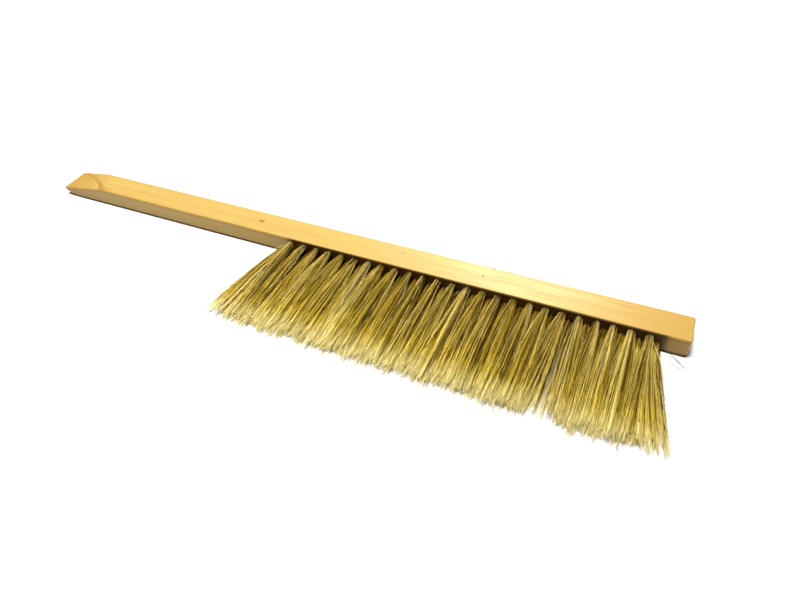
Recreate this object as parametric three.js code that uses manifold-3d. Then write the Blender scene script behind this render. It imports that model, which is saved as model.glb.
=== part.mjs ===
// A wooden bee brush, lying flat on a broad face: a one-piece stock with a wedge cut on its handle
// end, and two staggered rows of bristle tufts set in blind holes in its narrow front face.
// Millimetres. +X runs from the handle to the brush end, the tufts point along -Y, +Z is up.
// The origin is the bottom centre of the whole brush.

import * as THREE from 'three';
import { mergeVertices } from 'three/addons/utils/BufferGeometryUtils.js';
import Module from 'manifold-3d';

const wasm = await Module();
wasm.setup();

// Driving dimensions of the stock.
const LENGTH = 431;
const WIDTH = 20;                   // along Y
const HEIGHT = 11.5;                // along Z
const EDGE_EASE = 0.7;              // sanded edges of the long sides
const END_CORNER = 1.8;             // upright corners of the brush end, seen from above
const END_FOOT = 1.4;               // lower edge of the brush end, seen from the side
const TIP_CORNER = 1.2;             // upright corners of the handle tip, seen from above
const NOSE_HEIGHT = 5.0;            // where the curved underside of the handle tip starts
const NOSE_RUN = 20;                // where that curve meets the flat underside
const NOSE_PULL = { x: 3, z: 0.2 }; // the point that the curve is drawn towards

// The bevel on top of the handle tip, cut a little askew.
const BEVEL_START = 33.8;           // from the tip to the bevel's start, on the centre line
const BEVEL_SLOPE = 9.4;            // degrees down towards the tip
const BEVEL_SKEW = 20.6;            // degrees that the bevel's start is turned, seen from above

// Driving dimensions of the tufts.
const TUFTS_PER_ROW = 25;
const PITCH = 8.97;
const FIRST_TUFT = 195.8;           // from the handle tip to the first upper tuft
const UPPER_ROW = { name: 'upper', height: 7.8, tipHeight: 5.8, shift: 0 };
const LOWER_ROW = { name: 'lower', height: 3.5, tipHeight: 1.95, shift: PITCH / 2 };
const BRISTLE_REACH = 70;           // from the front face to the tips
const TIP_HALF_WIDTH = 4.25;        // a tuft spreads until it meets its neighbours
const TIP_HALF_HEIGHT = 1.65;       // and its own weight lets the tips sink
const HANDLE_SIDE_LEAN = -6;        // degrees, of the tuft next to the handle
const BRUSH_END_LEAN = 7;           // degrees, of the last tuft
const LEANING_TUFTS = 5;            // the lean dies out over this many tufts

// Holes, and the wire anchor that holds each folded tuft at the bottom of its hole.
const HOLE_RADIUS = 2.2;
const HOLE_DEPTH = 10;
const CLEARANCE = 0.32;
const ANCHOR = { length: 5, depth: 1.5, thickness: 0.45, fromBottom: 1.1 };

const ROUND_SIDES = 10;             // of a hole and of a tuft
const CURVE_STEPS = 8;
const FRONT_Y = (BRISTLE_REACH - WIDTH) / 2;    // places the whole brush about Y = 0
const WOOD = { color: 0xe6c486, roughness: 0.62, metalness: 0 };
const BRISTLE = { color: 0xa98f45, roughness: 0.5, metalness: 0 };

// Turns a geometry into a solid that manifold-3d can cut.
function solidOf(geometry, matrix = new THREE.Matrix4()) {
  const bare = geometry.clone().applyMatrix4(matrix);
  bare.deleteAttribute('normal');
  bare.deleteAttribute('uv');
  const merged = mergeVertices(bare, 1e-4);
  return new wasm.Manifold(new wasm.Mesh({
    numProp: 3,
    vertProperties: new Float32Array(merged.attributes.position.array),
    triVerts: new Uint32Array(merged.index.array),
  }));
}

// Turns a cut solid back into a geometry.
function geometryOf(solid) {
  const mesh = solid.getMesh();
  const geometry = new THREE.BufferGeometry();
  geometry.setAttribute('position', new THREE.BufferAttribute(mesh.vertProperties, 3));
  geometry.setIndex(new THREE.BufferAttribute(mesh.triVerts, 1));
  const faceted = geometry.toNonIndexed();
  faceted.computeVertexNormals();
  return faceted;
}

function boxAt(sizeX, sizeY, sizeZ, x, y, z) {
  return solidOf(new THREE.BoxGeometry(sizeX, sizeY, sizeZ), new THREE.Matrix4().makeTranslation(x, y, z));
}

// From here on X is measured from the handle tip and Y from the front face; the group moves them.

// Side view of the stock: flat below and above, with the nose under the tip.
function stockProfile() {
  const outline = new THREE.Shape();
  outline.moveTo(0, HEIGHT);
  outline.lineTo(0, NOSE_HEIGHT);
  outline.quadraticCurveTo(NOSE_PULL.x, NOSE_PULL.z, NOSE_RUN, 0);
  outline.lineTo(LENGTH - END_FOOT, 0);
  outline.absarc(LENGTH - END_FOOT, END_FOOT, END_FOOT, -Math.PI / 2, 0);
  outline.lineTo(LENGTH, HEIGHT - EDGE_EASE);
  outline.lineTo(LENGTH - EDGE_EASE, HEIGHT);
  outline.closePath();
  return outline;
}

// The stock seen from above, with its four upright corners rounded.
function stockPlan() {
  const outline = new THREE.Shape();
  const corners = [
    [TIP_CORNER, TIP_CORNER, TIP_CORNER, Math.PI],
    [LENGTH - END_CORNER, END_CORNER, END_CORNER, 1.5 * Math.PI],
    [LENGTH - END_CORNER, WIDTH - END_CORNER, END_CORNER, 0],
    [TIP_CORNER, WIDTH - TIP_CORNER, TIP_CORNER, 0.5 * Math.PI],
  ];
  for (const [x, y, radius, from] of corners) {
    outline.absarc(x, y, radius, from, from + Math.PI / 2);
  }
  outline.closePath();
  return outline;
}

// Everything above the bevel, as one large turned block.
function bevelCutter() {
  const block = new THREE.BoxGeometry(6 * BEVEL_START, 6 * WIDTH, 4 * HEIGHT);
  block.translate(0, 0, 2 * HEIGHT);
  const place = new THREE.Matrix4().makeTranslation(BEVEL_START, WIDTH / 2, HEIGHT);
  const skew = new THREE.Matrix4().makeRotationZ(THREE.MathUtils.degToRad(BEVEL_SKEW));
  const slope = new THREE.Matrix4().makeRotationY(-THREE.MathUtils.degToRad(BEVEL_SLOPE));
  return solidOf(block, place.multiply(skew).multiply(slope));
}

// A blind hole, with the pocket that its anchor's ends bite into the wood.
function holeCutter(x, z) {
  const overshoot = 5;
  const length = HOLE_DEPTH + overshoot;
  const bore = new THREE.CylinderGeometry(HOLE_RADIUS, HOLE_RADIUS, length, ROUND_SIDES);
  const place = new THREE.Matrix4().makeTranslation(x, HOLE_DEPTH - length / 2, z);
  const pocketDepth = ANCHOR.fromBottom + ANCHOR.depth + CLEARANCE;
  const pocket = boxAt(
    ANCHOR.length + 2 * CLEARANCE, pocketDepth, ANCHOR.thickness + 2 * CLEARANCE,
    x, HOLE_DEPTH - pocketDepth / 2, z,
  );
  return solidOf(bore, place).add(pocket);
}

function makeStock(sites) {
  const sides = new THREE.ExtrudeGeometry(stockProfile(), {
    depth: WIDTH - 2 * EDGE_EASE,
    curveSegments: CURVE_STEPS,
    bevelSize: EDGE_EASE,
    bevelOffset: -EDGE_EASE,
    bevelThickness: EDGE_EASE,
    bevelSegments: 1,
  });
  const upright = new THREE.Matrix4().makeRotationX(Math.PI / 2).setPosition(0, WIDTH - EDGE_EASE, 0);
  const plan = new THREE.ExtrudeGeometry(stockPlan(), {
    depth: 2 * HEIGHT,
    curveSegments: CURVE_STEPS / 2,
    bevelEnabled: false,
  });
  const lowered = new THREE.Matrix4().makeTranslation(0, 0, -HEIGHT / 2);
  const blank = solidOf(sides, upright).intersect(solidOf(plan, lowered)).subtract(bevelCutter());
  const drilled = sites.reduce((wood, site) => wood.subtract(holeCutter(site.x, site.row.height)), blank);
  return geometryOf(drilled);
}

// How far a tuft leans along X, in degrees: only the tufts near either end of a row do.
function leanOf(index) {
  const fromHandle = Math.max(0, 1 - index / LEANING_TUFTS);
  const fromEnd = Math.max(0, 1 - (TUFTS_PER_ROW - 1 - index) / LEANING_TUFTS);
  return HANDLE_SIDE_LEAN * fromHandle ** 2 + BRUSH_END_LEAN * fromEnd ** 2;
}

// A tuft: a round root in its hole, spreading to a flat fan at the tips. Each station gives the
// distance from the front face, and how far the tuft has spread (0 at the root, 1 at the tips).
function makeTuft({ row, index }) {
  const rootRadius = HOLE_RADIUS * Math.cos(Math.PI / ROUND_SIDES) - CLEARANCE;
  const foldY = HOLE_DEPTH - CLEARANCE;
  const stations = [
    { reach: -foldY, spread: 0, scale: 0.45 },
    { reach: 1 - foldY, spread: 0, scale: 1 },
    { reach: 0, spread: 0, scale: 1 },
    { reach: 0.45 * BRISTLE_REACH, spread: 0.8, scale: 1 },
    { reach: 0.93 * BRISTLE_REACH, spread: 1, scale: 1 },
    { reach: BRISTLE_REACH, spread: 1, scale: 0.65 },
  ];
  const geometry = new THREE.CylinderGeometry(1, 1, 1, ROUND_SIDES, stations.length - 1);
  geometry.rotateX(-Math.PI / 2);
  const lean = Math.tan(THREE.MathUtils.degToRad(leanOf(index)));
  const point = geometry.attributes.position;
  for (let i = 0; i < point.count; i += 1) {
    const step = Math.round((0.5 + point.getZ(i)) * (stations.length - 1));
    const { reach, spread, scale } = stations[step];
    const halfWidth = scale * THREE.MathUtils.lerp(rootRadius, TIP_HALF_WIDTH, spread);
    const halfHeight = scale * THREE.MathUtils.lerp(rootRadius, TIP_HALF_HEIGHT, spread);
    const middle = THREE.MathUtils.lerp(row.height, row.tipHeight, spread);
    const sway = lean * Math.max(0, reach);
    point.setXYZ(i, sway + halfWidth * point.getX(i), -reach, middle + halfHeight * point.getY(i));
  }
  const anchorY = foldY - ANCHOR.fromBottom - ANCHOR.depth / 2 + CLEARANCE;
  const anchor = boxAt(ANCHOR.length, ANCHOR.depth, ANCHOR.thickness, 0, anchorY, row.height);
  return geometryOf(solidOf(geometry).add(anchor));
}

const sites = [];
for (const row of [UPPER_ROW, LOWER_ROW]) {
  for (let index = 0; index < TUFTS_PER_ROW; index += 1) {
    sites.push({ row, index, x: FIRST_TUFT + row.shift + index * PITCH });
  }
}

const brush = new THREE.Group();
brush.position.set(-LENGTH / 2, FRONT_Y, 0);

const stock = new THREE.Mesh(makeStock(sites), new THREE.MeshStandardMaterial(WOOD));
stock.name = 'stock';
brush.add(stock);

for (const site of sites) {
  const tuft = new THREE.Mesh(makeTuft(site), new THREE.MeshStandardMaterial(BRISTLE));
  tuft.name = `${site.row.name}_tuft_${String(site.index + 1).padStart(2, '0')}`;
  tuft.position.x = site.x;
  brush.add(tuft);
}

export default brush;
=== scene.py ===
"""The looks of a wooden bee brush: a sanded stock, and two rows of bristle tufts folded round wire
anchors in its holes. Metres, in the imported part's frame: +X runs from the handle to the brush end,
the tufts point along -Y and the brush lies on z = 0."""

import math

import bpy
import numpy as np
from mathutils import Matrix, Vector


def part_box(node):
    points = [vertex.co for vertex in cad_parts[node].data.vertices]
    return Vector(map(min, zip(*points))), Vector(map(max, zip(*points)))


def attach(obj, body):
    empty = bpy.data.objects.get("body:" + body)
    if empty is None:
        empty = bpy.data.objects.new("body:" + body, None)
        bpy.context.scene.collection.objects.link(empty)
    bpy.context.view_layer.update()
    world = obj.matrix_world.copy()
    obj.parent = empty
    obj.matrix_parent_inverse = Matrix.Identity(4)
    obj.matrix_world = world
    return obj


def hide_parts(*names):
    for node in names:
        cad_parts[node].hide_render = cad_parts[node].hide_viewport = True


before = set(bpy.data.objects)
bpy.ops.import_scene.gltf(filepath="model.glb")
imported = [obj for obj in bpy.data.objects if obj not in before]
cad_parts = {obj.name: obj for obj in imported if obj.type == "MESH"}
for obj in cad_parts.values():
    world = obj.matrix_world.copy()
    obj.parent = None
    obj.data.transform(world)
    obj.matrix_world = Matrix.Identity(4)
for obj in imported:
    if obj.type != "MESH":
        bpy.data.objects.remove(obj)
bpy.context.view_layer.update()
MM = 0.001

# The stock, as the frame has it.
STOCK_LOW, STOCK_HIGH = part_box("stock")
FRONT = STOCK_LOW.y                     # the face that the tufts leave
STOCK_THICKNESS = STOCK_HIGH.z
TUFT_NAMES = sorted(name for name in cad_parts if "_tuft_" in name)
TUFTS_PER_ROW = len(TUFT_NAMES) // 2

# The wood: small knots on the top face (x, y, radius, brightness), and one dark ring, by its distance
# from the heart of the log.
KNOTS = [
    (STOCK_LOW.x + 167.6 * MM, FRONT + 10.2 * MM, 1.8 * MM, 1.0),
    (STOCK_LOW.x + 266.8 * MM, FRONT + 13.1 * MM, 0.8 * MM, 0.8),
    (STOCK_LOW.x + 318.0 * MM, FRONT + 10.5 * MM, 0.8 * MM, 0.2),
    (STOCK_LOW.x + 321.6 * MM, FRONT + 18.9 * MM, 0.9 * MM, 0.3),
]
MARKED_RING = 60.55 * MM

# The bristles. Where a value goes by side, -1 is the tuft at the handle's end of a row, 1 the tuft at
# the brush end, and 0 any other.
STRANDS_PER_TUFT = 140                  # each folded in two, so twice as many tips
MORE_STRANDS = {-1: 60, 0: 0, 1: 20}    # by side
SPARSE = {                              # share of the usual number of strands, where the hair parts
    "lower_tuft_20": 0.2,
    "upper_tuft_20": 0.65,
    "upper_tuft_21": 0.7,
}
TILTED = {                              # degrees away from that parting
    "lower_tuft_19": -1.5,
    "upper_tuft_20": -2.5,
    "upper_tuft_21": 3.5,
    "lower_tuft_21": 2.5,
}
STRAND_RADIUS = 0.095 * MM
TIP_RADIUS = 0.04 * MM
TAPER_START = 0.8                       # along a strand, as a share of FULL_LENGTH
TAPER_RUN = 0.19
FULL_LENGTH = 70 * MM                   # the distance from the front face where "along" is 1
TRIM_AT_HANDLE = 67.5 * MM              # from the front face to the tips, before single strands differ
TRIM_AT_END = 67.2 * MM
LEG_RINGS = 13                          # in the free half of a strand

# A tuft's bundle in its hole, and the flat wire that it is folded round.
ROOT_DISC = 1.9 * MM
FOLD_DEPTH = 9.5 * MM
ANCHOR_LENGTH = 4.9 * MM
ANCHOR_DEPTH = 1.45 * MM
ANCHOR_THICKNESS = 0.42 * MM
ANCHOR_MIDDLE = 8.15 * MM               # from the front face

# How a tuft spreads and sinks. Pairs are for the lower and the upper row.
SPREAD_X = 4.7 * MM
SPREAD_Z = 2.1 * MM
SPREAD_RATE = (7.0, 2.3)                # a higher one spreads sooner
END_SPREAD_RATE = 2.6                   # of the outermost tufts
LATE_SPREAD = 1.5                       # of their free side at the brush end, which spreads last
DROOP = (1.5 * MM, 4.0 * MM)            # how far the tips sink
FREE_SIDE = {-1: 3.3, 0: 1.0, 1: 3.0}   # times further that an outermost tuft spreads outwards, by side
FREE_LENGTH = {-1: -1.2 * MM, 0: 0.0, 1: -1.0 * MM}     # added to its outer strands, so it shortens them

# Strands draw together in locks, and locks gather into a tuft's pointed ends.
LOCKS = 46
TIP_POINTS = 5
PULL = (0.6, 0.97)                      # how far a strand is drawn into its lock, from and to
GATHER = (0.1, 0.45)                    # and a lock to its pointed end
LOOSE_SHARE = 0.03                      # strands that hardly join in
LOCK_ANGLE = (0.8, 0.5)                 # degrees of scatter in X and Z, of the locks
LOOSE_ANGLE = (4.5, 1.5)                # and of the loose strands
STRAND_ANGLE = 0.25                     # and of every strand on its own

# The ragged cut, in millimetres.
CUT_SLOPE = 1.2                         # the tips on top end this much short, and those below long
POINTED = 6                             # shorter by this per unit of distance from the lock's middle
OFF_POINT = 2                           # and by this per unit from its pointed end
LONG_SHARE = 0.06                       # of the locks stand out of the cut edge
LONG_LOCK = 3.6
SHORT_SHARE = 0.05                      # of the strands are cut short
SHORT_BY = (2, 15)

# The wayward strands of the outermost tufts.
STRAYS = 2                              # in each leg
STRAY_THICKNESS = 1.6
STRAY_KINDS = np.array([                # degrees outwards, reach and tone
    (9, 0.75, 0.9),
    (14, 0.6, 0.0),
    (18, 0.5, 0.9),
    (57, 0.17, 0.0),                    # only at the brush end
])

# Tones: 0 is dark and 1 pale.
TONE_CONTRAST = 1.6
FREE_SIDE_LIGHT = 0.2                    # how much paler the outermost strands are, as painted light
DARK_SHARE = 0.1                        # of the strands
DARK_TONE = 0.25                        # times their own
ROOT_SHADE = 0.24                       # how far out the strands that lie lowest are painted dark, as shade

# The camera, and the lights.
CAMERA_PLACE = (0.17788, -0.22703, 0.23583)
CAMERA_AZIMUTH = 26.12
CAMERA_ELEVATION = 41.72
CAMERA_ROLL = -2.62
CAMERA_LENS = 27.65


def link(obj):
    bpy.context.scene.collection.objects.link(obj)
    return obj


# ---------------------------------------------------------------- materials

class Nodes:
    """Short calls for building one material's node tree."""

    def __init__(self, name):
        self.material = bpy.data.materials.new(name)
        self.material.use_nodes = True
        self.tree = self.material.node_tree
        self.shader = self.tree.nodes["Principled BSDF"]

    def add(self, kind, **settings):
        node = self.tree.nodes.new("ShaderNode" + kind)
        for key, value in settings.items():
            setattr(node, key, value)
        return node

    def feed(self, value, socket):
        if isinstance(value, bpy.types.NodeSocket):
            self.tree.links.new(value, socket)
        else:
            socket.default_value = value

    def math(self, operation, *values):
        node = self.add("Math", operation=operation)
        for value, socket in zip(values, node.inputs):
            self.feed(value, socket)
        return node.outputs[0]

    def mix(self, amount, first, second, blend="MIX"):
        node = self.add("Mix", data_type="RGBA", blend_type=blend, clamp_result=True)
        for value, key in ((amount, 0), (first, 6), (second, 7)):
            self.feed(value, node.inputs[key])
        return node.outputs[2]

    def ramp(self, value, *stops):
        node = self.add("ValToRGB")
        ramp = node.color_ramp
        while len(ramp.elements) < len(stops):
            ramp.elements.new(0.5)
        for element, (place, colour) in zip(ramp.elements, stops):
            element.position = place
            element.color = (*colour, 1)
        self.feed(value, node.inputs[0])
        return node.outputs[0]

    def smooth(self, value, low, high, start=0.0, end=1.0):
        node = self.add("MapRange", interpolation_type="SMOOTHSTEP")
        for number, socket in zip((value, low, high, start, end), node.inputs):
            self.feed(number, socket)
        return node.outputs[0]

    def place(self, scale=(1, 1, 1)):
        coordinates = self.add("TexCoord").outputs["Object"]
        mapping = self.add("Mapping")
        mapping.inputs["Scale"].default_value = scale
        self.feed(coordinates, mapping.inputs["Vector"])
        return mapping.outputs[0]

    def noise(self, scale, detail=3.0, roughness=0.55, stretch=(1, 1, 1)):
        node = self.add("TexNoise")
        self.feed(self.place(stretch), node.inputs["Vector"])
        node.inputs["Scale"].default_value = scale
        node.inputs["Detail"].default_value = detail
        node.inputs["Roughness"].default_value = roughness
        return node.outputs[0]

    def attribute(self, name):
        return self.add("Attribute", attribute_name=name).outputs["Fac"]

    def bump(self, height, distance, strength=1.0):
        node = self.add("Bump")
        node.inputs["Distance"].default_value = distance
        node.inputs["Strength"].default_value = strength
        self.feed(height, node.inputs["Height"])
        self.feed(node.outputs[0], self.shader.inputs["Normal"])


def wood_material():
    """Pale wood sawn from a log whose heart lies below the brush, so that the growth rings run
    along the stock and show as arcs where the handle tip is cut across them."""
    n = Nodes("sanded_wood")
    heart_y, heart_z = FRONT - 2 * MM, -49 * MM
    ring_gap = 2.7 * MM
    place = n.add("SeparateXYZ")
    n.feed(n.place(), place.inputs[0])
    wander = n.math("MULTIPLY", n.math("SUBTRACT", n.noise(9, 2, stretch=(0.5, 6, 6)), 0.5), 2.2 * MM)
    across = n.math("SUBTRACT", place.outputs[1], heart_y)
    up = n.math("SUBTRACT", place.outputs[2], heart_z)
    radius = n.math("SQRT", n.math("ADD", n.math("POWER", across, 2.0), n.math("POWER", up, 2.0)))
    ring = n.math("FRACT", n.math("DIVIDE", n.math("ADD", radius, wander), ring_gap))
    late = n.math("MULTIPLY", n.smooth(ring, 0.45, 0.9), n.smooth(ring, 1.0, 0.93))
    fibre = n.noise(900, 4, 0.6, stretch=(0.03, 1, 1))
    cloud = n.noise(22, 3, 0.5, stretch=(0.35, 1, 1))
    pale = n.mix(n.smooth(cloud, 0.3, 0.7), (0.52, 0.337, 0.086, 1), (0.55, 0.374, 0.104, 1))
    ringed = n.mix(n.math("MULTIPLY", late, 0.14), pale, (0.373, 0.193, 0.033, 1))
    off_mark = n.math("ABSOLUTE", n.math("SUBTRACT", n.math("ADD", radius, wander), MARKED_RING))
    on_bevel = n.smooth(place.outputs[0], STOCK_LOW.x + 52 * MM, STOCK_LOW.x + 33 * MM, 0.12, 1.0)
    mark = n.math("MULTIPLY", n.smooth(off_mark, 0.6 * MM, 0.1 * MM), on_bevel)
    marked = n.mix(n.math("MULTIPLY", mark, 0.8), ringed, (0.373, 0.16, 0.02, 1))
    fine = n.mix(n.smooth(fibre, 0.42, 0.62, 0.0, 0.2), marked, (0.367, 0.22, 0.053, 1))
    streak = n.smooth(n.noise(420, 2, 0.5, stretch=(0.06, 1, 1)), 0.66, 0.76, 0.0, 0.3)
    toned = n.mix(streak, fine, (0.28, 0.147, 0.033, 1))
    speck = n.smooth(n.noise(1700, 2, 0.6, stretch=(0.4, 1, 1)), 0.48, 0.72, 0.0, 0.26)
    toned = n.mix(speck, toned, (0.38, 0.22, 0.045, 1))
    for x, y, size, bright in KNOTS:
        along = n.math("MULTIPLY", n.math("SUBTRACT", place.outputs[0], x), 0.6)
        aside = n.math("SUBTRACT", place.outputs[1], y)
        far = n.math("SQRT", n.math("ADD", n.math("POWER", along, 2.0), n.math("POWER", aside, 2.0)))
        near_top = n.smooth(place.outputs[2], STOCK_THICKNESS - 3 * MM, STOCK_THICKNESS - 1 * MM)
        knot = n.math("MULTIPLY", n.smooth(far, size, 0.35 * size), near_top)
        heart = (0.24 * bright, 0.11 * bright, 0.025 * bright, 1)
        toned = n.mix(n.math("MULTIPLY", knot, 0.95 - 0.15 * bright), toned, heart)
    # Painted shade: the wood grows browner towards both ends, standing for the light falling off away
    # from the middle.
    to_tip = n.smooth(place.outputs[0], STOCK_LOW.x + 40 * MM, STOCK_LOW.x + 4 * MM)
    to_end = n.smooth(place.outputs[0], STOCK_HIGH.x - 60 * MM, STOCK_HIGH.x - 1 * MM)
    tip_shade = n.math("MULTIPLY", to_tip, n.smooth(cloud, 0.35, 0.6, 0.3, 0.75))
    toned = n.mix(tip_shade, toned, (0.44, 0.24, 0.04, 1))
    toned = n.mix(n.math("MULTIPLY", to_end, 0.5), toned, (0.413, 0.227, 0.04, 1))
    # The front face is painted darker all over, as shade for a face turned from the lamps. It is also
    # darker a little under its top edge and more towards the bottom, and painted shade darkens it most
    # between the tufts.
    on_front = n.smooth(place.outputs[1], FRONT + 0.8 * MM, FRONT + 0.2 * MM)
    toned = n.mix(n.math("MULTIPLY", on_front, 0.85), toned, (0.77, 0.71, 0.56, 1), "MULTIPLY")
    under_edge = n.math("MULTIPLY", on_front, n.smooth(place.outputs[2], 8.5 * MM, 10.6 * MM))
    toned = n.mix(n.math("MULTIPLY", under_edge, 0.8), toned, (0.76, 0.74, 0.66, 1), "MULTIPLY")
    lower = n.math("MULTIPLY", on_front, n.smooth(place.outputs[2], 9 * MM, 1 * MM))
    toned = n.mix(lower, toned, (0.84, 0.82, 0.72, 1), "MULTIPLY")
    # Painted contact shadow: every face darkens towards the floor, and loses most of its gloss there.
    foot_shadow = n.smooth(place.outputs[2], 2.5 * MM, 0.8 * MM)
    toned = n.mix(n.math("MULTIPLY", foot_shadow, 0.95), toned, (0.16, 0.13, 0.03, 1), "MULTIPLY")
    # Painted shade on the front face between the tufts, where the hair keeps the light off.
    past_first = n.smooth(place.outputs[0], first_x - 5 * MM, first_x)
    before_last = n.smooth(place.outputs[0], last_x + 6 * MM, last_x + 2 * MM)
    shade_by_holes = n.math("MULTIPLY", n.math("MULTIPLY", on_front, past_first), before_last)
    toned = n.mix(n.math("MULTIPLY", shade_by_holes, 0.95), toned, (0.15, 0.08, 0.03, 1), "MULTIPLY")
    n.feed(toned, n.shader.inputs["Base Color"])
    n.feed(n.smooth(fibre, 0.3, 0.7, 0.32, 0.44), n.shader.inputs["Roughness"])
    n.shader.inputs["Specular Tint"].default_value = (1.0, 0.95, 0.7, 1)
    specular = n.math("SUBTRACT", 0.5, n.math("MULTIPLY", foot_shadow, 0.48))
    n.feed(specular, n.shader.inputs["Specular IOR Level"])
    n.bump(n.math("ADD", fibre, n.math("MULTIPLY", late, 0.4)), 0.05 * MM, 0.5)
    return n.material


def bristle_material():
    """Blond hair: every strand has its own tone. It is dark where it leaves the wood, a painted shade,
    and pale at its tip, partly its own bleached colour and partly painted light; all of it is a little
    paler towards the handle."""
    n = Nodes("blond_bristle")
    along = n.attribute("along")
    tone = n.attribute("tone")
    # Dark near the wood as painted shade; pale at the tip, partly the hair's own bleached colour and
    # partly painted light.
    body = n.ramp(
        along,
        (0.0, (0.22, 0.125, 0.004)),
        (0.1, (0.49, 0.325, 0.011)),
        (0.5, (0.56, 0.375, 0.012)),
        (0.74, (0.81, 0.59, 0.036)),
        (0.95, (1.0, 0.88, 0.38)),
    )
    shade = n.ramp(
        tone,
        (0.0, (0.03, 0.015, 0.001)),
        (0.22, (0.23, 0.165, 0.02)),
        (0.5, (0.9, 0.86, 0.6)),
        (1.0, (1.25, 1.25, 1.6)),
    )
    place = n.add("SeparateXYZ")
    n.feed(n.place(), place.inputs[0])
    to_handle = n.smooth(place.outputs[0], last_x, first_x)
    level = n.mix(to_handle, (0.93, 0.93, 0.93, 1), (1.13, 1.14, 1.16, 1))
    body = n.mix(1.0, body, level, "MULTIPLY")
    # The strands' own tones fade out towards the tip, which keeps the tips pale: part of the painted
    # light there.
    coloured = n.mix(n.smooth(along, 0.68, 1.0, 1.0, 0.2), body, shade, "MULTIPLY")
    coloured = n.mix(n.smooth(tone, 0.5, 1.0, 0.0, 0.5), coloured, (1.0, 0.88, 0.4, 1))
    mottle = n.smooth(n.noise(700, 2), 0.35, 0.7, 0.0, 0.12)
    mottled = n.mix(mottle, coloured, (0.24, 0.15, 0.01, 1))
    n.feed(mottled, n.shader.inputs["Base Color"])
    n.feed(n.smooth(tone, 0.0, 1.0, 0.5, 0.34), n.shader.inputs["Roughness"])
    n.shader.inputs["Specular IOR Level"].default_value = 0.4
    n.shader.inputs["Specular Tint"].default_value = (1.0, 0.85, 0.4, 1)
    return n.material


def wire_material():
    n = Nodes("anchor_wire")
    stain = n.noise(1500, 3)
    stained = n.mix(n.smooth(stain, 0.4, 0.7), (0.62, 0.6, 0.57, 1), (0.38, 0.33, 0.28, 1))
    n.feed(stained, n.shader.inputs["Base Color"])
    n.shader.inputs["Metallic"].default_value = 1.0
    n.feed(n.smooth(stain, 0.3, 0.7, 0.3, 0.5), n.shader.inputs["Roughness"])
    return n.material


# ---------------------------------------------------------------- bristles

def tube_mesh(name, paths, radii, along, tone):
    """One mesh of closed three-sided strands. paths is (strands, rings, 3), radii (strands, rings)."""
    strands, rings, _ = paths.shape
    sides = 3
    tangent = np.gradient(paths, axis=1)
    tangent /= np.linalg.norm(tangent, axis=2, keepdims=True)
    x_axis = np.array([1.0, 0, 0])
    side = x_axis - tangent * (tangent @ x_axis)[..., None]
    side /= np.linalg.norm(side, axis=2, keepdims=True)
    normal = np.cross(tangent, side)
    angles = np.arange(sides) * 2 * math.pi / sides
    offset = side[:, :, None] * np.cos(angles)[:, None] + normal[:, :, None] * np.sin(angles)[:, None]
    points = paths[:, :, None] + radii[:, :, None, None] * offset
    ring, corner = np.meshgrid(np.arange(rings - 1), np.arange(sides), indexing="ij")
    after = (corner + 1) % sides
    quads = np.stack([ring * sides + corner, ring * sides + after,
                      (ring + 1) * sides + after, (ring + 1) * sides + corner], axis=-1).reshape(-1, 4)
    starts = (np.arange(strands) * rings * sides)[:, None]
    quad_corners = (starts[:, :, None] + quads).reshape(-1)
    first_cap = starts + np.arange(sides)[::-1]
    last_cap = starts + (rings - 1) * sides + np.arange(sides)
    corners = np.concatenate([quad_corners, first_cap.reshape(-1), last_cap.reshape(-1)])
    corners = corners.astype(np.int32)
    sizes = np.concatenate([np.full(len(quad_corners) // 4, 4), np.full(2 * strands, sides)])
    mesh = bpy.data.meshes.new(name)
    mesh.vertices.add(strands * rings * sides)
    mesh.vertices.foreach_set("co", points.reshape(-1).astype(np.float32))
    mesh.loops.add(len(corners))
    mesh.loops.foreach_set("vertex_index", corners)
    mesh.polygons.add(len(sizes))
    starts_of_faces = np.concatenate([[0], np.cumsum(sizes)[:-1]]).astype(np.int32)
    mesh.polygons.foreach_set("loop_start", starts_of_faces)
    for key, values in (("along", along), ("tone", tone)):
        layer = mesh.attributes.new(key, "FLOAT", "POINT")
        spread = np.broadcast_to(values[:, :, None], (strands, rings, sides))
        layer.data.foreach_set("value", spread.reshape(-1).astype(np.float32))
    mesh.update(calc_edges=True)
    mesh.shade_smooth()
    return mesh


def smoothstep(values):
    values = np.clip(values, 0, 1)
    return values * values * (3 - 2 * values)


def reach_shares():
    """How far along the free half of a strand each ring lies. The last two are close together, so
    that the blunt end's shading stays at the end."""
    return np.append(0.996 * np.linspace(0, 1, LEG_RINGS - 1) ** 1.1, 1.0)


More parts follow.
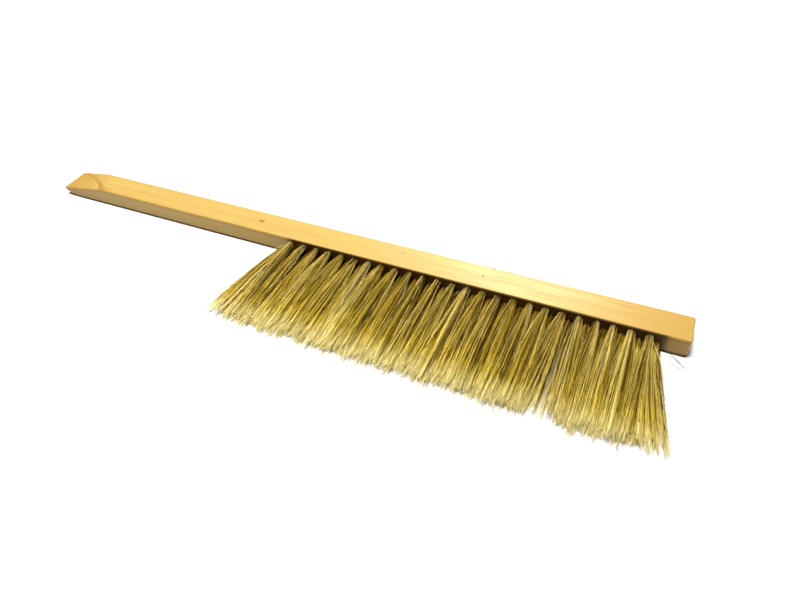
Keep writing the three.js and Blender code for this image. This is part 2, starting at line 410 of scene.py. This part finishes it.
def leg_paths(rng, root, hole, side, tilt, length, droop, spread_rate, points, limits):
    """The free half of every strand in a tuft, from its hole's bottom out to its tip, with how far
    along and how pale it is at each ring. side is -1 or 1 for the tufts at the ends of the rows, which
    have nobody to hold them in on that side, or else 0. points are the tuft's pointed ends (x, z, how
    much longer), and limits the lowest and highest z."""
    count = len(root)

    # Each strand joins the nearest lock, and each lock the nearest pointed end.
    locks = rng.uniform(-1, 1, (LOCKS, 2))
    point = np.argmin(np.abs(locks[:, None, 0] - points[None, :, 0]), axis=1)
    wish = root / ROOT_DISC + rng.normal(0, 0.14, (count, 2))
    lock = np.argmin(((wish[:, None] - locks[None]) ** 2).sum(2), axis=1)
    pull = rng.uniform(*PULL, count)[:, None, None]
    gather = rng.uniform(*GATHER, count)[:, None, None]
    loose = rng.random(count) < LOOSE_SHARE
    pull[loose] *= 0.15
    gather[loose] *= 0.1

    # The cut.
    aside = np.minimum(np.linalg.norm(wish - locks[lock], axis=1), 0.6)
    lock_cut = points[point, 2] + rng.normal(0, 1.1, LOCKS)
    lock_cut = lock_cut + LONG_LOCK * (rng.random(LOCKS) < LONG_SHARE)
    off_point = np.abs(wish[:, 0] - points[point[lock], 0])
    shorter = POINTED * aside + OFF_POINT * off_point + rng.exponential(2.0, count)
    cut = length + (lock_cut[lock] - shorter) * MM
    short = rng.random(count) < SHORT_SHARE
    cut[short] -= rng.uniform(*SHORT_BY, short.sum()) * MM
    cut -= CUT_SLOPE * wish[:, 1] * MM
    cut += FREE_LENGTH[side] * np.clip(side * wish[:, 0], 0, 1)

    # The spread, from the root's place to where the strand aims, and how soon it comes.
    t = reach_shares()[None]
    drawn = pull * (t ** 1.2)[..., None]
    gathered = gather * (t ** 3)[..., None]
    aim = wish[:, None] * (1 - drawn) + locks[lock][:, None] * drawn
    aim = aim * (1 - gathered) + points[point[lock], :2][:, None] * gathered
    fan = 1 - (1 - t) ** (END_SPREAD_RATE if side else spread_rate)
    if side:
        fan = 0.25 * fan + 0.75 * t
    if side > 0:
        fan = np.where(root[:, 0, None] > 0, t ** LATE_SPREAD, fan)
    outward = np.where(aim[..., 0] * side > 0, FREE_SIDE[side], 1.0)
    angle = rng.normal(0, LOCK_ANGLE, (LOCKS, 2))[lock] + rng.normal(0, STRAND_ANGLE, (count, 2))
    angle[loose] += rng.normal(0, LOOSE_ANGLE, (loose.sum(), 2))

    # The strays.
    stray = np.arange(count) < (STRAYS if side else 0)
    kinds = len(STRAY_KINDS) - 1 if side < 0 else len(STRAY_KINDS)
    kind = STRAY_KINDS[rng.integers(0, kinds, stray.sum())]
    angle[stray, 0] = side * kind[:, 0] + rng.normal(0, 2, stray.sum())
    cut[stray] = length * kind[:, 1] * rng.uniform(0.85, 1.15, stray.sum())
    fan = fan * np.where(stray, cut / length, 1.0)[:, None]

    # The paths, bent and waved, inside the limits.
    angle[:, 0] += tilt
    lean = np.tan(np.radians(angle))
    bend = rng.normal(0, 0.3, (count, 2)) * MM + rng.normal(0, 0.4, (LOCKS, 2))[lock] * MM
    wave = rng.normal(0, 0.12, (count, 2)) * MM
    ripple = np.sin(rng.uniform(0, 2 * math.pi, (count, 1)) + t * rng.uniform(5, 12, (count, 1))) * t
    out = cut[:, None] * t
    arch = np.sin(math.pi * t)
    ends = (SPREAD_X * outward, SPREAD_Z)
    offsets = []
    for axis in (0, 1):
        start = root[:, axis, None]
        offset = start + fan * (aim[..., axis] * ends[axis] - start)
        offset = offset + lean[:, axis, None] * out + bend[:, axis, None] * arch
        offsets.append(offset + wave[:, axis, None] * ripple)
    z = hole[1] + offsets[1] - droop * t ** 2
    z = limits[0] + np.abs(z - limits[0])
    z = limits[1] - np.abs(limits[1] - z)
    paths = np.stack([hole[0] + offsets[0], FRONT - out, z], axis=2)

    # Inside the hole it passes above or below the anchor.
    clear = ANCHOR_THICKNESS / 2 + 2 * STRAND_RADIUS
    above = np.where(root[:, 1] < 0, -1, 1) * np.maximum(np.abs(root[:, 1]), clear)
    inner = np.repeat(paths[:, :1], 2, axis=1)
    inner[:, :, 1] = FRONT + ANCHOR_MIDDLE + np.array([0.6, -0.6]) * ANCHOR_DEPTH
    inner[:, :, 2] = hole[1] + above[:, None]
    along = np.concatenate([np.zeros((count, 2)), out / FULL_LENGTH], axis=1)

    # The tones: by lock and by strand, paler on an outermost tuft's free side as painted light, and
    # painted shade near the root of strands that lie low.
    tone = 0.5 * rng.random(LOCKS)[lock] + 0.5 * rng.random(count)
    tone = 0.5 + TONE_CONTRAST * (tone - 0.5) + FREE_SIDE_LIGHT * np.clip(side * wish[:, 0], 0, 1)
    tone = np.clip(tone, 0, 1)
    buried = np.clip(0.6 - (hole[1] + root[:, 1]) / STOCK_THICKNESS, 0, 0.5) / 0.5
    tone[rng.random(count) < DARK_SHARE] *= DARK_TONE
    tone[stray] = kind[:, 2]
    tone = tone[:, None] * (1 - 0.9 * buried[:, None] * (1 - smoothstep(along / ROOT_SHADE)))
    return np.concatenate([inner, paths], axis=1), along, tone


def make_tuft(name, material, rng):
    """A tuft of strands, each folded in two at the bottom of its hole."""
    hole = tuft_holes[name]
    index = int(name[-2:])
    side = {1: -1, TUFTS_PER_ROW: 1}.get(index, 0)
    count = round((STRANDS_PER_TUFT + MORE_STRANDS[side]) * SPARSE.get(name, 1))
    tilt = TILTED.get(name, 0) + rng.normal(0, 0.4)
    radius = np.sqrt(rng.random(count)) * ROOT_DISC
    angle = rng.uniform(0, math.pi, count)
    upper_root = np.stack([radius * np.cos(angle), radius * np.sin(angle)], axis=1)
    lower_root = upper_root * np.array([1, -1])
    share = (hole[0] - first_x) / (last_x - first_x)
    trim = TRIM_AT_HANDLE + (TRIM_AT_END - TRIM_AT_HANDLE) * share
    length = trim * (1 + rng.normal(0, 0.006))
    row = 1 if name.startswith("upper") else 0
    limits = (1.2 * STRAND_RADIUS, STOCK_THICKNESS + 1 * MM)
    points = np.stack([
        np.linspace(-0.8, 0.8, TIP_POINTS) + rng.uniform(-0.18, 0.18, TIP_POINTS),
        rng.uniform(-0.6, 0.6, TIP_POINTS),
        rng.normal(0, 1.6, TIP_POINTS),
    ], axis=1)
    (path_a, along_a, tone_a), (path_b, along_b, tone_b) = [
        leg_paths(rng, root, hole, side, tilt, length, DROOP[row], SPREAD_RATE[row], points, limits)
        for root in (upper_root, lower_root)
    ]
    fold = path_a[:, :1].copy()
    fold[:, :, 1] = FRONT + FOLD_DEPTH
    fold[:, :, 2] = hole[1]
    paths = np.concatenate([path_a[:, ::-1], fold, path_b], axis=1)
    along = np.concatenate([along_a[:, ::-1], np.zeros((count, 1)), along_b], axis=1)
    tone = np.concatenate([tone_a[:, ::-1], tone_a[:, :1], tone_b], axis=1)
    taper = smoothstep((along - TAPER_START) / TAPER_RUN)
    thickness = rng.uniform(0.8, 1.2, (count, 1))
    radii = (STRAND_RADIUS + (TIP_RADIUS - STRAND_RADIUS) * taper) * thickness
    if side:
        radii[:STRAYS] *= STRAY_THICKNESS
    mesh = tube_mesh(name + "_bristles", paths, radii, along, tone)
    mesh.materials.append(material)
    tuft = link(bpy.data.objects.new(name + "_bristles", mesh))
    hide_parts(name)
    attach(tuft, "root")


def hole_centre(name):
    """Where a tuft's hole is: the middle of what the frame's tuft has inside the stock."""
    points = np.array([v.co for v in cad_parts[name].data.vertices])
    inside = points[points[:, 1] > FRONT + 1 * MM]
    middle = (inside.min(0) + inside.max(0)) / 2
    return middle[0], middle[2]


def make_anchor(name, material, rng):
    """The flat wire at the bottom of a tuft's hole, rounded along its edges and bowed by its tuft."""
    stations = 9
    sides = 10
    angle = np.arange(sides) * 2 * math.pi / sides
    reach = np.linspace(-1, 1, stations)
    pinch = np.where(np.abs(reach) > 0.99, 0.72, 1.0)[:, None]
    bow = 0.16 * MM * (reach ** 2 - 0.5) + rng.normal(0, 0.03) * MM * reach
    depth = ANCHOR_DEPTH / 2 * np.sign(np.cos(angle)) * np.abs(np.cos(angle)) ** 0.55
    rise = ANCHOR_THICKNESS / 2 * np.sign(np.sin(angle)) * np.abs(np.sin(angle)) ** 0.55
    hole = tuft_holes[name]
    points = np.empty((stations, sides, 3))
    points[:, :, 0] = hole[0] + ANCHOR_LENGTH / 2 * reach[:, None]
    points[:, :, 1] = FRONT + ANCHOR_MIDDLE + bow[:, None] + depth * pinch
    points[:, :, 2] = hole[1] + rise * pinch
    faces = [tuple(range(sides))[::-1], tuple(range((stations - 1) * sides, stations * sides))]
    for station in range(stations - 1):
        for side in range(sides):
            after = (side + 1) % sides
            low = station * sides
            faces.append((low + side, low + after, low + sides + after, low + sides + side))
    mesh = bpy.data.meshes.new(name + "_anchor")
    mesh.from_pydata(points.reshape(-1, 3).tolist(), [], faces)
    mesh.materials.append(material)
    mesh.shade_smooth()
    anchor = link(bpy.data.objects.new(name + "_anchor", mesh))
    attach(anchor, "root")


tuft_holes = {name: hole_centre(name) for name in TUFT_NAMES}
first_x = min(x for x, z in tuft_holes.values())
last_x = max(x for x, z in tuft_holes.values())

bristle = bristle_material()
wire = wire_material()
for number, name in enumerate(TUFT_NAMES):
    make_tuft(name, bristle, np.random.default_rng(100 + number))
    make_anchor(name, wire, np.random.default_rng(400 + number))

# ---------------------------------------------------------------- stock

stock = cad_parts["stock"]
stock.data.materials.clear()
stock.data.materials.append(wood_material())
ease = stock.modifiers.new("ease", "BEVEL")
ease.width = 0.35 * MM
ease.segments = 3
ease.limit_method = "ANGLE"
ease.angle_limit = math.radians(25)
ease.harden_normals = True

# ---------------------------------------------------------------- floor, lights and camera

def make_floor():
    """A white floor, with a dim strip below the roots of the tufts that stands for the deep shade
    there."""
    mesh = bpy.data.meshes.new("floor")
    half = 4.0
    corners = [(-half, -half, 0), (half, -half, 0), (half, half, 0), (-half, half, 0)]
    mesh.from_pydata(corners, [], [(0, 1, 2, 3)])
    floor = link(bpy.data.objects.new("floor", mesh))
    n = Nodes("white_floor")
    from_middle = n.add("VectorMath", operation="LENGTH")
    n.feed(n.place(), from_middle.inputs[0])
    far = n.smooth(from_middle.outputs["Value"], 0.15, 0.7)
    pale = n.mix(far, (0.74, 0.74, 0.74, 1), (0.85, 0.85, 0.85, 1))
    place = n.add("SeparateXYZ")
    n.feed(n.place(), place.inputs[0])
    below = n.smooth(place.outputs[0], first_x - 8 * MM, first_x - 4 * MM)
    for value, low, high in (
        (place.outputs[0], last_x + 3 * MM, last_x),
        (place.outputs[1], FRONT - 30 * MM, FRONT - 14 * MM),
        (place.outputs[1], FRONT + 9 * MM, FRONT + 3 * MM),
    ):
        below = n.math("MULTIPLY", below, n.smooth(value, low, high))
    n.feed(n.mix(below, pale, (0.07, 0.05, 0.025, 1)), n.shader.inputs["Base Color"])
    n.shader.inputs["Roughness"].default_value = 0.9
    n.shader.inputs["Specular IOR Level"].default_value = 0.1
    mesh.materials.append(n.material)


def area_light(name, place, target, width, depth, power):
    lamp = bpy.data.lights.new(name, "AREA")
    lamp.shape = "ELLIPSE"
    lamp.size = width
    lamp.size_y = depth
    lamp.energy = power
    obj = link(bpy.data.objects.new(name, lamp))
    obj.location = place
    obj.rotation_euler = (Vector(target) - Vector(place)).to_track_quat("-Z", "Y").to_euler()


def make_lights():
    area_light("overhead", (-0.08, -0.12, 1.5), (-0.08, 0.0, 0.0), 0.6, 0.6, 39.5)
    area_light("window", (-0.045, 0.75, 0.61), (0.07, 0.03, 0.0), 0.34, 0.14, 3.3)
    world = bpy.data.worlds.new("studio")
    world.use_nodes = True
    background = world.node_tree.nodes["Background"]
    background.inputs["Color"].default_value = (1, 1, 1, 1)
    background.inputs["Strength"].default_value = 0.08
    bpy.context.scene.world = world


def make_camera():
    data = bpy.data.cameras.new("camera")
    data.lens = CAMERA_LENS
    data.sensor_width = 36
    data.clip_start = 0.01
    camera = link(bpy.data.objects.new("camera", data))
    turn = Matrix.Rotation(math.radians(CAMERA_AZIMUTH), 4, "Z")
    tilt = Matrix.Rotation(math.radians(90 - CAMERA_ELEVATION), 4, "X")
    roll = Matrix.Rotation(math.radians(CAMERA_ROLL), 4, "Z")
    camera.matrix_world = Matrix.Translation(CAMERA_PLACE) @ turn @ tilt @ roll
    bpy.context.scene.camera = camera


make_floor()
make_lights()
make_camera()
bpy.context.scene.view_settings.view_transform = "Standard"
